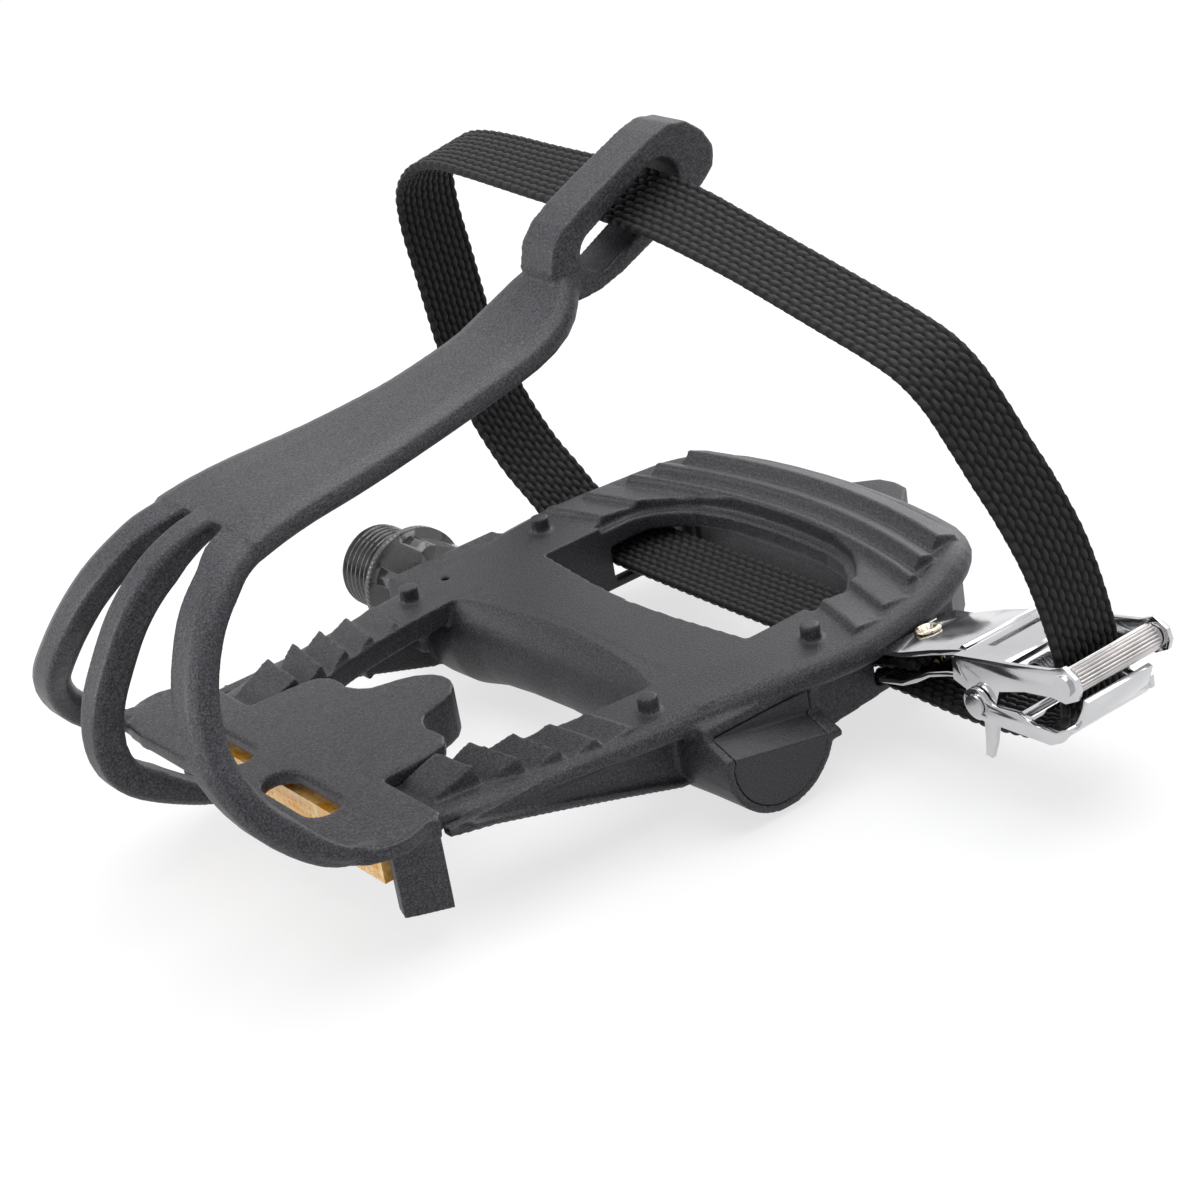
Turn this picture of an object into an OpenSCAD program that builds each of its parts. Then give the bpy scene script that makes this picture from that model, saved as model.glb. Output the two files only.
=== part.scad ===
// Bicycle pedal, left side: moulded cage platform with a toe clip, a webbing
// toe strap, a quick release buckle and amber reflectors. Millimetres.
// +X points to the toe, +Y outwards from the crank, +Z up. The origin is on the
// spindle axis, in the face of the spindle collar that meets the crank arm.

/* [Spindle] */
// Radius over the crank thread
thread_r = 7.144; // [6.9:0.002:7.2]
// Length of the crank thread
thread_len = 11.2; // [10:0.1:13]
// Radius of the thin collar at the crank face
collar_r = 9.34; // [9:0.02:9.8]
// Thickness of the thin collar
collar_t = 1.4; // [1.2:0.1:1.6]
// Wrench hexagon across its flats
hex_af = 15; // [14.5:0.5:15.5]
// Radius of the shaft inside the barrel
shaft_r = 3.3; // [3.1:0.05:3.35]

/* [Bearings] */
// Outer radius of the pressed cups
cup_r = 6.3; // [6.2:0.02:6.35]
// Radius of one bearing ball
ball_r = 1.19; // [1.1:0.01:1.2]
// Balls in one bearing
ball_count = 10; // [8:1:11]

/* [Platform] */
// Distance from the crank face to the middle plane of the platform
mid_y = 50.3; // [50:0.1:50.6]
// Height of the foot surface over the spindle axis
top_z = 7.2; // [7.15:0.05:7.6]
// Height of the rounded outer edge
roll_h = 4.2; // [3.9:0.1:4.4]
// Height of the small locating pegs
peg_h = 2.5; // [1.8:0.1:3]
// Width across one locating peg
peg_w = 3.2; // [2.8:0.1:3.4]
// Half width of the rear opening
rear_open_w = 25; // [24:0.5:25.5]
// Lowest point of the side walls
wall_z = -5.6; // [-6.2:0.1:-5]
// Outer radius of the barrel at its open end
barrel_end_r = 10.1; // [9.9:0.1:10.4]

/* [Toe clip] */
// Upper face of the clip plate
plate_z = 9.3; // [9.2:0.1:9.8]
// Thickness of the clip plate
plate_t = 2.2; // [1.9:0.1:2.3]
// Depth of the bars seen from the side
bar_t = 4.8; // [4.4:0.1:5.2]
// Half width of the middle bar
mid_bar_w = 2.6; // [2.3:0.1:3]
// Width of the strap loop along the spindle
loop_w = 8; // [7:0.5:9]

/* [Strap] */
// Width of the webbing
strap_w = 11.9; // [11.4:0.1:12.2]
// Thickness of the webbing
strap_t = 1.6; // [1.4:0.1:1.7]

/* [Buckle] */
// Thickness of the buckle sheet
sheet_t = 0.8; // [0.7:0.1:0.9]
// Radius of the fluted roller
roller_r = 2; // [1.9:0.05:2.1]
// Radius of the two buckle pins
pin_r = 1; // [0.9:0.05:1.05]

/* [View] */
// Sub-part to draw, or all of them

/* [Hidden] */

fit_gap = 0.03;
run_gap = 0.3;
seat_gap = 0.05;
cut = 1;

// Stations along the spindle
hex_end = 7.6;
barrel_in = 8.6;
barrel_out = 93.6;
seal_y = 9;
seal_t = 1.4;
cup_in = 10.6;
cup_t = 5;
cup_out = barrel_out - 13;
ball_pitch = shaft_r + 0.26 + ball_r;
ball_in = 12.4;
ball_out = cup_out - 1.8;
cone_end = cup_out + 1.8;
washer_t = 0.9;
nut_y = cone_end + washer_t + 0.1;
nut_t = 3.1;
end_r = 2.6;
spindle_end = nut_y + nut_t + 0.6;
cap_t = 1;
cap_y = barrel_out - cap_t;
bore_r = 4.2;
block_z = top_z - 0.1;
cap_z = 4.8;

// Outer end: wall under the rolled edge and the ledge that slopes from it to the round end
panel_w = 38.8;
panel_z = 5.4;
nut_room_r = 5.5;
ledge_z = 0.9;
ledge_x = -3.8;
ledge_rise = 0.203;
ledge_fall = 0.417;
end_x0 = -11.5;
end_x1 = 9.7;
cap_top = 3.4;

// Front beam and clip fixings
beam_x0 = 49;
beam_x1 = 54;
beam_low = -4.2;
screw_w = 13.5;
screw_z = 0.8;
screw_r = 2;
lug_x0 = 45.6;
under_z = plate_z - plate_t;

// Rear housing
rear_x0 = -52.4;
rear_x1 = -42;

// Strap passage
slot_x0 = -38.4;
slot_x1 = -23.7;
slot_z0 = -2.8;
slot_z1 = 3.1;

// Buckle
buckle_x = -29.8;
frame_in = 8.6;
rivet_w = 43;
cheek_t = 0.7;
lever_in = frame_in + cheek_t + 0.15;
lever_t = 0.7;
roller_w = 79.7;
roller_z = 12.2;
pivot_w = 63;
pivot_z = 4.3;

// Outer outline of the platform, half side, toe end first: X, half width
edge = [[49.5, 29.4], [45, 30.5], [41, 31.4], [36, 32.4], [30, 33.4], [25, 34], [18.4, 35.3],
    [13, 36.1], [8.3, 36.8], [0, 38.2], [-8, 39.7], [-14, 40.7], [-18, 41.15], [-22, 41.3],
    [-27, 40.8], [-32, 39.9], [-37, 38.8], [-41, 37.6], [-44.3, 36.2], [-47, 34.7], [-49.5, 32.9],
    [-51.7, 30.7], [-53.5, 28.2], [-55, 24.8], [-56, 20], [-56.8, 14], [-57.3, 7], [-57.5, 0]];
// Height that the foot surface gains towards the rear
rise = [[-60, 1.6], [-54, 1.6], [-50, 1.9], [-45, 1.75], [-39, 1.0], [-33, 0.6], [-27, 0.35],
    [-18, 0], [60, 0]];
// Height of the rounded edge along the platform
edge_h = [[-58, roll_h + 0.6], [-50, roll_h + 0.6], [-30, roll_h + 0.4], [0, roll_h],
    [50, roll_h - 1.4]];
// Rear limit of the foot surface against the half width
rear_lim = [[0, -54.5], [14, -53.8], [20, -53], [24.8, -51.8], [28, -50.3], [31, -47.5],
    [33, -44.6], [35, -39.8], [36.6, -33], [37.6, -26], [37.9, -22]];
// Half width of the front opening against X
front_lim = [[1.9, 0], [2.3, 12], [3, 24.9], [17.8, 23.6], [25, 22.3], [31, 20.8], [36, 18.9],
    [41.2, 18.2], [beam_x0, 17.6]];
// Half outline of the rear opening
rear_open = [[-8, 0], [-8.6, 10], [-10.5, rear_open_w], [-28.5, rear_open_w],
    [-31.5, rear_open_w - 1.2], [-34.5, rear_open_w - 4.2], [-36.8, rear_open_w - 7.6],
    [-38.3, 12], [-38.9, 5], [-39, 0]];
// Teeth of the front rails, toe end first: X, half width, height over the spindle
teeth_in = [[49.3, 18.2, 6.2], [46.5, 18.2, 8.1], [41.2, 18.4, 9.8], [40.3, 18.5, 7.2],
    [36.1, 19.2, 9.5], [35.3, 19.6, 7], [30.3, 21.5, 8.9], [29.6, 21.7, 6.8], [24.8, 22.9, 8.5],
    [24.1, 23, 6.9], [19.2, 24.2, 8], [18.6, 24.3, 7.1]];
teeth_out = [[49.3, 26.2, 6.2], [46.5, 26.2, 8.3], [40.8, 27.1, 10.4], [40, 27.4, 6.9],
    [34.8, 29.6, 9.8], [34, 29.8, 6.9], [29.1, 31.1, 8.9], [28.4, 31.2, 6.8], [23.4, 32.3, 8.4],
    [22.8, 32.4, 7], [17.7, 33.1, 7.8], [17.2, 33.2, 7.1]];
// Rear ridges: crest X in the middle plane, crest height, rear foot X, rear foot
// height, inner and outer half width
ridges = [[-49.7, 11, -53.6, 9.6, 0, 29.9], [-44.6, 10.4, -47.3, 9.6, 0, 31.9],
    [-40.9, 9.5, -42.5, 9, 0, 34], [-33.8, 8.6, -38.6, 8.1, 22, 36.3],
    [-27.3, 8.3, -33.2, 7.6, 23, 37.8]];
ridge_r = 110;

// Toe clip band, loop end first: X, Z of the upper face and its half width
band = [[-4.6, 64, 3.3], [-1.3, 61.6, 5.7], [2.4, 58.9, 6.9], [7.9, 56.4, 6.6],
    [13.7, 55, 6.6], [20.4, 53.6, 6.8], [26.2, 52.7, 7.3], [35, 51.6, 8.3], [42, 51, 9.3],
    [48.6, 50.5, 10], [54.5, 49.7, 10.6], [59, 48.7, 11]];
// Outer bar: X, Z of the front face, inner and outer half width
bar = [[54.2, 49.35, 5.2, 10.3], [58.8, 48.45, 5.2, 10.7], [62.8, 47.2, 6.2, 11.8],
    [65.5, 45.6, 8, 12.8], [68.6, 43.4, 9.1, 14], [71.3, 40.9, 10.4, 15.3],
    [73.8, 37.8, 12.2, 16.8], [76, 34.2, 14, 18.6], [77.7, 30, 16.4, 21],
    [78.6, 25.6, 19, 23.9], [78, 21.2, 21.8, 26.6], [75.8, 16.6, 24.4, 28.8],
    [72.2, 12.4, 26.6, 30.4], [68.4, 9.3, 28.4, 31.1], [64.8, 7.7, 29.4, 31.4],
    [61, 7.4, 29.8, 31.4], [57.4, 7.45, 29.8, 31]];
// Middle bar: X, Z of the front face
mid_bar = [[54.6, 49.3], [58, 48.95], [61.4, 48.5], [65.1, 47.3], [68, 45.9], [70.6, 44.2],
    [73, 42.2], [75.3, 39.8], [77.3, 37.1], [79.3, 34], [81.2, 30.7], [82.6, 26.8],
    [83.1, 22.4], [82.2, 18.2], [79.9, 15], [76.6, 12.5], [73, 10.4], [69.4, 8.6],
    [66.6, 7.75], [62.4, 7.4]];
// Steps of the curve in each span of the band and the bars
clip_steps = 2;
// Half outline of the clip plate, toe end first: X, half width
plate = [[64.6, 0], [64.9, 8], [65.2, 16], [65.4, 24], [64.8, 29.8], [62.5, 32.6], [59.6, 33.9],
    [56.6, 34.3], [50, 31.9], [50, 17.8], [42, 17.6], [38.6, 16.8], [37.2, 14.8], [37.1, 12.2],
    [37.4, 10.6], [36.6, 8.6], [35.4, 7.1], [33.6, 6.5], [31, 5.7], [28.8, 4.6], [27.1, 2.8],
    [26.4, 1], [26.3, 0]];
// Side outline of the strap loop and its slot: X, Z
loop_out = [[-1.6, 60.2], [-1.5, 63.4], [-2.4, 66.6], [-4.6, 69.2], [-8.3, 71.3],
    [-15.6, 74.6], [-22.9, 77.7], [-26, 78.5], [-29.4, 77.9], [-32.2, 75.7], [-33.8, 72.8],
    [-33.3, 70], [-31, 67.9], [-26, 65.2], [-19.8, 62.1], [-14, 59.6], [-9.2, 58.2], [-5, 58]];
slot_len = 21;
slot_h = 6.4;
slot_pos = [-16.8, 67.5];
slot_tilt = 26.8;

// Strap centre line: X, distance from the middle plane, Z, tilt of the webbing
strap_path = [[-30, 46, 3.15, 4], [-30, 42, 2.5, 5], [-30, 38.5, 1.65, 6], [-30, 35, 1.1, 8],
    [-30, 25, 0.9, 9], [-30, 0, 0.8, 9], [-30, -25, 0.9, 9], [-30, -35, 1.1, 9],
    [-29.8, -39.5, 1.9, 9], [-29.5, -43.2, 4.2, 9], [-29, -46.8, 7.6, 10], [-28.3, -51.2, 11.8, 10],
    [-27.6, -55, 17, 10], [-26.8, -57.6, 22.5, 10], [-25.8, -59.4, 29, 10], [-25, -59.9, 34.5, 10],
    [-24, -59.4, 40.5, 10], [-23, -58.9, 47, 10], [-22, -58.6, 53.6, 10], [-21.3, -57.8, 58.8, 10],
    [-20.6, -56, 62.8, 10], [-20.2, -52.6, 66.3, 10], [-20, -48, 68.8, 10], [-19.9, -42, 69.9, 10],
    [-19.8, -34, 70, 12], [-19.8, -25, 69.7, 14], [-19.9, -16, 69.4, 17], [-20, -8, 69.2, 19],
    [-20, 0, 68.8, 20], [-20, 6, 68.3, 19], [-20.2, 12, 67.4, 17], [-20.4, 19, 65.8, 13],
    [-20.7, 27.3, 63.7, 10], [-21, 35.7, 61.4, 10], [-21.3, 44.2, 59, 10], [-21.7, 52, 56.7, 10],
    [-22.1, 57.8, 54.3, 10], [-22.6, 62, 50.8, 10], [-23.3, 65.2, 46, 10], [-24, 68, 41.2, 10],
    [-24.7, 70.5, 37, 10], [-25.2, 72.6, 33.2, 10], [-25.8, 74.3, 29.2, 10], [-26.5, 75.4, 24.8, 10],
    [-27.2, 76.1, 20.4, 9], [-27.9, 76.4, 16.4, 7], [-28.6, 76.3, 12.6, 5], [-29.2, 76, 8.8, 3],
    [-29.6, 75.6, 5, 2], [-29.8, 74.7, 2.8, 2], [-30, 72.2, 0.8, 2], [-30, 68, -0.7, 2],
    [-30, 60, -1.8, 2], [-30, 52, -1.9, 3], [-30, 45, -1.7, 4], [-30, 39.5, -1.5, 6],
    [-30, 35.5, -1.35, 8]];

function unit(v) = v / norm(v);
function left2(v) = [-v[1], v[0]];
function path_dir(p, i) = unit(p[min(i + 1, len(p) - 1)] - p[max(i - 1, 0)]);
function two(p) = [for (q = p) [q[0], q[1]]];
function mirror_y(p) = [for (q = p) [q[0], -q[1]]];
function turned(p) = [for (i = [len(p) - 1:-1:0]) p[i]];
// Full outline from a half outline that starts and ends in the middle plane
function both(p) = concat(p, [for (i = [len(p) - 2:-1:1]) [p[i][0], -p[i][1]]]);
function surface_z(x) = top_z + lookup(x, rise);
// Smooth curve through the rows of a table, with the given number of steps in each span
function curve(p, steps) = concat([for (i = [0:len(p) - 2]) for (j = [0:steps - 1])
    let (t = j / steps, a = p[max(i - 1, 0)], b = p[i], c = p[i + 1], d = p[min(i + 2, len(p) - 1)])
    b + (c - a) * t / 2 + (a - b * 2.5 + c * 2 - d / 2) * t * t
        + (b * 1.5 - a / 2 - c * 1.5 + d / 2) * t * t * t], [p[len(p) - 1]]);

// Closed tube through rings of equal, even length; the end caps pair the points
module skin(rings) {
    n = len(rings[0]);
    m = len(rings);
    k = n / 2;
    e = (m - 1) * n;
    pts = [for (r = rings) for (p = r) p];
    sides = [for (i = [0:m - 2]) for (j = [0:n - 1])
        let (a = i * n + j, b = i * n + (j + 1) % n)
        for (t = [[a, a + n, b + n], [a, b + n, b]]) t];
    first = [for (j = [0:k - 2]) for (t = [[j, j + 1, n - 2 - j], [j, n - 2 - j, n - 1 - j]]) t];
    last = [for (j = [0:k - 2])
        for (t = [[e + j, e + n - 2 - j, e + j + 1], [e + j, e + n - 1 - j, e + n - 2 - j]]) t];
    polyhedron(points = pts, faces = concat(first, sides, last), convexity = 8);
}

// Solid between a row-wise surface and the level zb under it
module slab(rows, zb) {
    skin([for (r = rows) concat(r, [for (j = [len(r) - 1:-1:0]) [r[j][0], r[j][1], zb]])]);
}

// Turned part along the spindle from a list of radius, Y
module turned_y(pts, fn = 72) {
    rotate([-90, 0, 0]) rotate_extrude($fn = fn) polygon(pts);
}

// Cylinder along the spindle
module cyl_y(r, y0, y1, fn = 72) {
    translate([0, y0, 0]) rotate([-90, 0, 0]) cylinder(r = r, h = y1 - y0, $fn = fn);
}

// Cylinder along X
module cyl_x(r, x0, x1, w, z, fn = 40) {
    translate([x0, mid_y + w, z]) rotate([0, 90, 0]) cylinder(r = r, h = x1 - x0, $fn = fn);
}

// Plate in the side view (X, Z), spanning two distances from the middle plane
module side_plate(w0, w1) {
    translate([0, mid_y + w1, 0]) rotate([90, 0, 0]) linear_extrude(height = w1 - w0) children();
}

// Plate in the front view (distance, Z), spanning two X values
module front_plate(x0, x1) {
    translate([x0, mid_y, 0]) rotate([90, 0, 90]) linear_extrude(height = x1 - x0) children();
}

// Plate in the top view
module top_plate(z0, z1) {
    translate([0, mid_y, z0]) linear_extrude(height = z1 - z0) children();
}

module both_sides() {
    children();
    translate([0, mid_y, 0]) mirror([0, 1, 0]) translate([0, -mid_y, 0]) children();
}

// Bent strip of constant thickness in a plane
module strip(path, t) {
    n = len(path);
    a = [for (i = [0:n - 1]) path[i] + left2(path_dir(path, i)) * t / 2];
    b = [for (i = [n - 1:-1:0]) path[i] - left2(path_dir(path, i)) * t / 2];
    polygon(concat(a, b));
}

module spindle() {
    color([0.09, 0.09, 0.1]) {
        cyl_y(thread_r, -thread_len, 0);
        cyl_y(collar_r, 0, collar_t);
        intersection() {
            translate([0, collar_t, 0]) rotate([-90, 30, 0])
                cylinder(r = hex_af / sqrt(3), h = hex_end - collar_t, $fn = 6);
            turned_y([[0, collar_t], [hex_af / 2 + 0.4, collar_t], [hex_af / 2 + 1.3, collar_t + 0.9],
                [hex_af / 2 + 1.3, hex_end - 0.9], [hex_af / 2 + 0.4, hex_end], [0, hex_end]]);
        }
        turned_y([[0, hex_end - cut], [5.4, hex_end - cut], [5.4, barrel_in - 0.2],
            [4.4, barrel_in - 0.2], [4.4, cup_in], [shaft_r - 0.1, ball_in - 0.4],
            [shaft_r - 0.1, cup_in + cup_t], [shaft_r, cup_in + cup_t + 1],
            [shaft_r, cup_out - cup_t - 1], [end_r, cup_out - cup_t - 0.5],
            [end_r, spindle_end - 0.4], [end_r - 0.4, spindle_end], [0, spindle_end]]);
    }
}

module inner_seal() {
    color([0.05, 0.05, 0.05])
        turned_y([[4.4 + run_gap, seal_y], [cup_r - fit_gap, seal_y],
            [cup_r - fit_gap, seal_y + seal_t], [4.4 + run_gap, seal_y + seal_t]]);
}

// Bearing cup with its race towards smaller Y
module cup(y) {
    r = cup_r - fit_gap;
    race = ball_r + fit_gap;
    k = race * (sqrt(2) - 1);
    turned_y([[r, y], [r, y + cup_t], [bore_r, y + cup_t], [bore_r, y + cup_t - 0.8],
        [ball_pitch + k, y + 1.8 + race], [ball_pitch + race, y + 1.8 + k],
        [ball_pitch + race, y]]);
}

module balls(y) {
    for (i = [0:ball_count - 1])
        rotate([0, i * 360 / ball_count, 0]) translate([ball_pitch, y, 0])
            sphere(r = ball_r, $fn = 24);
}

module inner_cup() {
    color([0.75, 0.75, 0.77]) cup(cup_in);
}

module inner_balls() {
    color([0.8, 0.8, 0.82]) balls(ball_in);
}

module outer_cup() {
    color([0.75, 0.75, 0.77])
        translate([0, cup_out, 0]) mirror([0, 1, 0]) cup(0);
}

module outer_balls() {
    color([0.8, 0.8, 0.82]) balls(ball_out);
}

module outer_cone() {
    color([0.6, 0.6, 0.62])
        turned_y([[end_r + fit_gap, ball_out + 0.4], [shaft_r - 0.1, ball_out + 0.4],
            [4.4, cup_out], [4.4, cone_end], [end_r + fit_gap, cone_end]]);
}

module keyed_washer() {
    color([0.62, 0.62, 0.64])
        turned_y([[end_r + fit_gap, cone_end], [4.7, cone_end], [4.7, cone_end + washer_t],
            [end_r + fit_gap, cone_end + washer_t]]);
}

module lock_nut() {
    color([0.62, 0.62, 0.64])
        difference() {
            translate([0, cone_end + washer_t, 0]) rotate([-90, 30, 0])
                cylinder(r = 9 / sqrt(3), h = nut_t, $fn = 6);
            cyl_y(end_r + fit_gap, cone_end, cone_end + washer_t + nut_t + cut);
        }
}

// Rounded edge that runs round the platform
module edge_roll() {
    half = edge;
    path = concat(half, [for (i = [len(half) - 2:-1:0]) [half[i][0], -half[i][1]]]);
    skin([for (i = [0:len(path) - 1])
        let (p = path[i], d = left2(path_dir(path, i)), z = surface_z(p[0]), h = lookup(p[0], edge_h))
        [for (q = [[4.4, 0], [2.8, 0], [1.5, -0.1], [0.55, -0.28], [0.05, -0.52],
                [0.2, -0.74], [0.9, -0.91], [1.9, -1], [3, -1], [4.4, -1]])
            [p[0] + d[0] * q[0], mid_y + p[1] + d[1] * q[0],
                z + (q[1] < 0 ? q[1] * h : 0)]]]);
}

// Foot surface inside the rounded edge
module foot_plate() {
    inner = [for (i = [0:len(edge) - 1])
        let (d = left2(path_dir(edge, i))) [edge[i][0] + d[0] * 3.4, edge[i][1] + d[1] * 3.4]];
    flat = concat([[49.5, 0]], [for (p = inner) if (p[1] > 0) p], [[-54.1, 0]]);
    top_plate(top_z - roll_h + 0.6, top_z) polygon(both(flat));
    slab([for (w = [-37.5, -36, -34, -31.5, -29, -26, -20, -12, 0, 12, 20, 26, 29, 31.5, 34, 36, 37.5])
        let (x0 = lookup(abs(w), rear_lim))
        [for (t = [0:0.125:1])
            let (x = x0 + t * (-16 - x0)) [x, mid_y + w, surface_z(x)]]], top_z - 2);
}

// One ridge across the rear of the foot surface
module ridge(r, side) {
    w0 = r[4] == 0 ? -r[5] : r[4];
    n = 12;
    slab([for (i = [0:n])
        let (w = w0 + (r[5] - w0) * i / n, b = w * w / (2 * ridge_r))
        [[r[2] + b, mid_y + w, r[3]], [r[0] + b - 0.3, mid_y + w, r[1]],
            [r[0] + b + 0.15, mid_y + w, r[1] - 0.1], [r[0] + b + 0.5, mid_y + w, r[1] - 0.8],
            [r[0] + b + 1.2, mid_y + w, r[1] - 1.25],
            [r[0] + b + 2.4, mid_y + w, min(r[1] - 1.35, surface_z(r[0] + b + 2.4) - 0.05)]]],
        top_z - 1.5);
}

module teeth() {
    slab([[for (i = [len(teeth_in) - 1:-1:0])
            [teeth_in[i][0], mid_y + teeth_in[i][1], teeth_in[i][2]]],
        [for (i = [len(teeth_out) - 1:-1:0])
            [teeth_out[i][0], mid_y + teeth_out[i][1], teeth_out[i][2]]]], 4.6);
}

// Barrel round the spindle, waisted in the middle and cut off under the foot surface
module barrel() {
    r1 = barrel_end_r;
    intersection() {
        turned_y([[0, barrel_in], [r1, barrel_in], [10.3, 14], [10.6, 20.2], [10.4, 26.2],
            [9.05, 32.3], [8.4, 39.9], [8, mid_y], [8.4, 60.7], [9.05, 68.3], [10.4, 74.4],
            [10.6, 80.4], [10.3, 85.9], [r1, barrel_out], [0, barrel_out]]);
        union() {
            translate([-20, mid_y - 38, -20]) cube([40, 73.5, 20 + top_z - seat_gap]);
            translate([-20, 0, -20]) cube([40, mid_y + panel_w - seat_gap, 20 + cap_z]);
            ledge(-20, 20, 44.5, -20);
        }
    }
}

// Block under a surface that is level up to the panel, then falls to the end, and rises with X
module ledge(x0, x1, w_end, low) {
    skin([for (x = [x0, x1]) let (z = ledge_z + ledge_rise * (x - ledge_x))
        [for (q = [[panel_w - 8, low], [panel_w, low], [w_end, low],
            [w_end, z - ledge_fall * (w_end - panel_w)], [panel_w, z], [panel_w - 8, z]])
            [x, mid_y + q[0], q[1]]]]);
}

// Outside of the outer end, without the fillets: wall, ledge and round end
module outer_end() {
    front_plate(end_x0, end_x1)
        polygon([[26, -3], [26, panel_z], [panel_w - 1.2, panel_z], [panel_w - 0.35, panel_z - 0.35],
            [panel_w, panel_z - 1.2], [panel_w, -3]]);
    ledge(end_x0, end_x1, barrel_out - mid_y, -3.4);
    intersection() {
        turned_y([[0, 80], [10.6, 80.4], [10.3, 85.9], [barrel_end_r, barrel_out], [0, barrel_out]]);
        ledge(-20, 20, 44.5, -20);
    }
}

// Square shoulders that carry the barrel outside the platform
module shoulder(w_end) {
    r = 1.6;
    front_plate(-11.5, 9.7)
        polygon(concat([[26, -3], [26, block_z]],
            [for (a = [90:-15:0]) [w_end - r + r * cos(a), block_z - r + r * sin(a)]],
            [[w_end, -3]]));
}

module side_walls() {
    both_sides() {
        side_plate(30.6, 32.4)
            polygon([[49.4, top_z - 1], [49.4, 5], [41.8, 3.4], [31.9, 0.6], [21.7, -2.4],
                [10, wall_z - 0.4], [-10, wall_z - 0.4], [-18, -4.6], [-18, top_z - 1]]);
        side_plate(32.3, 33.4)
            polygon([[46, 5.1], [46, 5.9], [41.8, 4.9], [31.9, 2.3], [21.7, -0.8], [9.6, -4.6],
                [9.6, wall_z + 0.1], [21.7, -1.7], [31.9, 1.4], [41.8, 4.1]]);
        side_plate(rear_open_w, rear_open_w + 2)
            polygon([[4, top_z - 1], [4, -4], [-12, -4.4], [rear_x1, -4.4], [rear_x1, top_z - 1]]);
        side_plate(35.6, 37.6)
            polygon([[-12, top_z - 1], [-12, wall_z + 0.2], [-22, -4.6], [-31, -3.7], [-40.4, -3.5],
                [-40.4, top_z - 1]]);
        top_plate(-3.5, top_z - 1)
            polygon([[-40.2, 37.6], [-41.6, 36.2], [-50.6, 29], [rear_x0, 27], [rear_x0, 25],
                [-49.6, 27.6], [-40.2, 35]]);
        side_plate(20, 29.2)
            polygon([[49.4, top_z - 0.4], [49.4, 4.9], [44, 4.4], [40, 4.6], [40, top_z - 0.4]]);
        for (x = [14, 24.5])
            side_plate(24, 32) polygon([[x, 4], [x + 1.6, 4], [x + 1.6, 1.6 - x * 0.04], [x, -1 + x * 0.1]]);
    }
}

module rear_housing() {
    difference() {
        top_plate(-4.4, top_z - 1)
            polygon(both([[rear_x1 + 2.6, 0], [rear_x1 + 2.6, 12], [rear_x1 + 2, 22],
                [rear_x1, rear_open_w + 2], [-46, rear_open_w + 2], [-50, 27.4], [rear_x0, 26.6],
                [rear_x0, 0]]));
        translate([rear_x0 + 2.6, mid_y - 20, -4.4 - cut]) cube([5.4, 40, 5 + cut]);
        translate([rear_x0 - cut, mid_y - 20, -3.8]) cube([1.5 + cut, 40, 6.9]);
    }
    // Tab that flips the pedal over with the foot
    top_plate(2, 5.3)
        polygon([[-54, -12], [-58, -8.6], [-60.4, -6.4], [-64, -3.2], [-64.6, 0], [-64, 3.2],
            [-60.4, 6.4], [-58, 8.6], [-54, 12]]);
}

module front_beam() {
    intersection() {
        top_plate(beam_low, under_z - seat_gap)
            polygon(both([[beam_x1, 0], [beam_x1, 27.4], [50.2, 29.3], [beam_x0, 29.3],
                [beam_x0, 0]]));
        front_plate(beam_x0 - cut, beam_x1 + cut)
            polygon([[-29.5, 4.4], [-17, beam_low], [17, beam_low], [29.5, 4.4], [29.5, 9],
                [-29.5, 9]]);
    }
}

module pedal_body() {
    color([0.1, 0.1, 0.1])
        difference() {
            union() {
                difference() {
                    union() {
                        edge_roll();
                        foot_plate();
                        for (r = ridges) {
                            if (r[4] == 0) ridge(r);
                            if (r[4] > 0) both_sides() ridge(r);
                        }
                    }
                    top_plate(-9, 20) polygon(both(rear_open));
                    top_plate(top_z - 0.9, 20) intersection() {
                        offset(delta = 1.6) polygon(both(rear_open));
                        translate([-60, -40]) square([38, 80]);
                    }
                    top_plate(-9, 20) polygon(both(concat(front_lim, [[beam_x0, 0]])));
                }
                both_sides() teeth();
                barrel();
                top_plate(0, top_z) polygon(both([[2.1, 0], [2.5, 12], [3.1, 25.5], [3.1, 30],
                    [-10.6, 30], [-10.6, 25.4], [-8.7, 10], [-8.1, 0]]));
                outer_end();
                mirror_shoulder();
                side_walls();
                rear_housing();
                front_beam();
                both_sides() for (p = [[-16, 33.2], [12.5, 30.3]])
                    translate([p[0], mid_y + p[1], top_z - 0.5]) rotate([0, 0, 20])
                        cylinder(r = peg_w / 2, h = peg_h + 0.5, $fn = 8);
            }
            cyl_y(bore_r, 0, spindle_end);
            cyl_y(cup_r, barrel_in - cut, cup_in + cup_t + 0.1);
            cyl_y(cup_r, cup_out - cup_t - 0.1, nut_y - 0.5);
            cyl_y(nut_room_r, nut_y - 1, spindle_end + 0.2);
            // Opening behind the end cap, and the recess for the cap
            intersection() {
                cyl_y(cup_r, spindle_end - 0.3, barrel_out + cut);
                translate([-20, 0, -20]) cube([40, 120, 20 + cap_top - 0.6]);
            }
            difference() {
                cap_shape(seat_gap);
                translate([0, -cap_t - seat_gap, -0.8 - seat_gap]) outer_end();
            }
            // Passage of the strap
            translate([slot_x0, mid_y - 40, slot_z0])
                cube([slot_x1 - slot_x0, 80, slot_z1 - slot_z0]);
            // Clip screws
            for (s = [-1, 1]) {
                cyl_x(screw_r + seat_gap, beam_x0 - cut, beam_x1 + cut, s * screw_w, screw_z);
                cyl_x(4, beam_x1 - 2.7, beam_x1 + cut, s * screw_w, screw_z);
            }
            // Small hole near the crank side
            translate([4.3, mid_y - 32.2, top_z - 3]) cylinder(r = 0.75, h = 5, $fn = 24);
        }
}

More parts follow.
